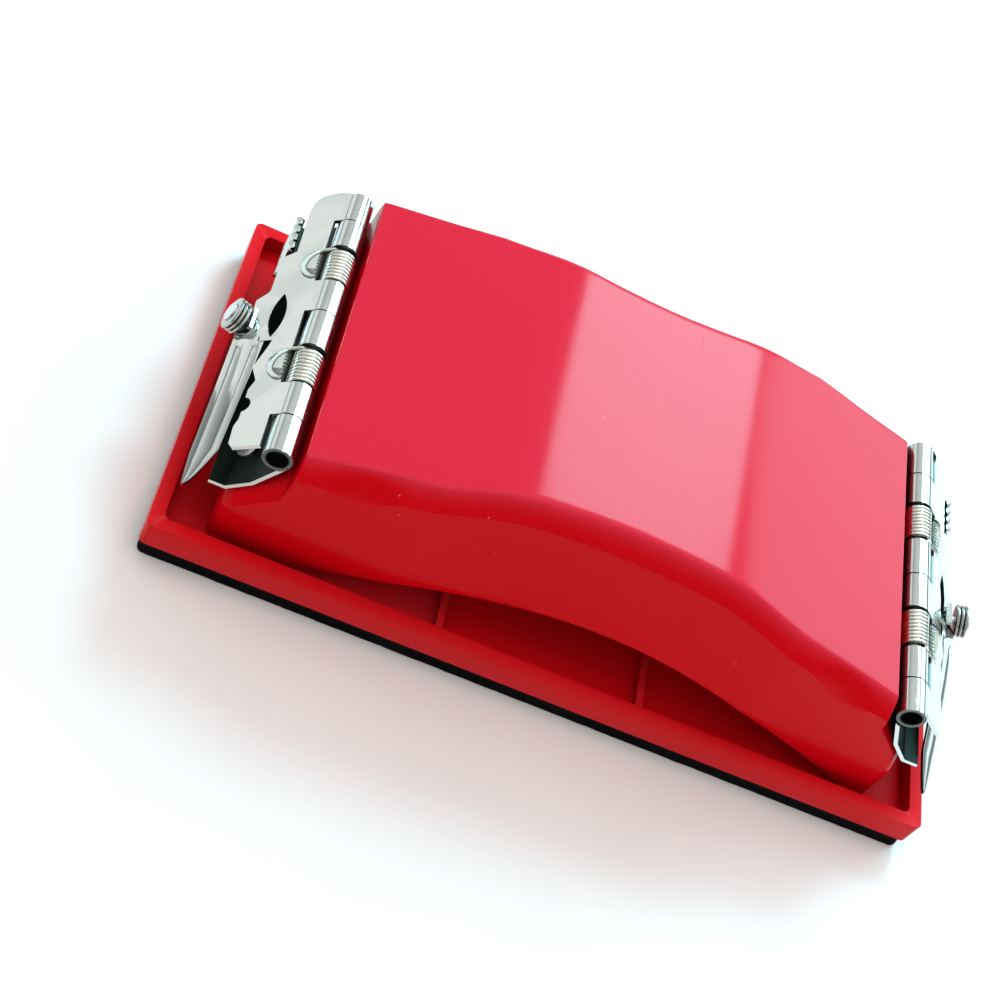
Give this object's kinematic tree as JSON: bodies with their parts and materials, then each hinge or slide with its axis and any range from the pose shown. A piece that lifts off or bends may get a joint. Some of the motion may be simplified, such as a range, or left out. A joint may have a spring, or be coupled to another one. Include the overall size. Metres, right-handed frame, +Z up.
{
  "type": "sanding block",
  "caption": "Hand sanding block: arched red grip on a rimmed plate with a black foam pad, and a sprung steel clamp at each end for a strip of abrasive paper.",
  "frame": {"origin": "centre of the pad's underside, which is the plane the block rests on", "axes": "+X along the block, +Y to the back, +Z up"},
  "size_m": [0.1662, 0.085, 0.0446],
  "materials": {
    "red_plastic": "glossy moulded",
    "foam": "matte closed-cell foam",
    "chrome_sheet": "bright plated sheet",
    "rod_steel": "plain turned",
    "spring_steel": "bright drawn wire"
  },
  "bodies": {
    "block": {"base_plate": "red_plastic", "grip_shell": "red_plastic", "foam_pad": "foam", "left_fixed_leaf": "chrome_sheet", "left_hinge_rod": "rod_steel", "left_front_spring": "spring_steel", "left_back_spring": "spring_steel", "left_rivets": "rod_steel", "right_fixed_leaf": "chrome_sheet", "right_hinge_rod": "rod_steel", "right_front_spring": "spring_steel", "right_back_spring": "spring_steel", "right_rivets": "rod_steel"},
    "left_jaw": {"left_moving_jaw": "chrome_sheet", "left_knob_stud": "rod_steel", "left_lift_knob": "spring_steel"},
    "right_jaw": {"right_moving_jaw": "chrome_sheet", "right_knob_stud": "rod_steel", "right_lift_knob": "spring_steel"}
  },
  "joints": [
    {"name": "left_jaw_hinge", "type": "hinge", "parent": "block", "child": "left_jaw", "pos_m": [-0.0658, 0, 0.0319], "axis": [0, 1, 0], "range_deg": [0, 50], "stiffness_Nm_per_rad": 0.02, "springref_deg": -28.65},
    {"name": "right_jaw_hinge", "type": "hinge", "parent": "block", "child": "right_jaw", "pos_m": [0.0658, 0, 0.0319], "axis": [0, -1, 0], "range_deg": [0, 50], "stiffness_Nm_per_rad": 0.02, "springref_deg": -28.65}
  ]
}
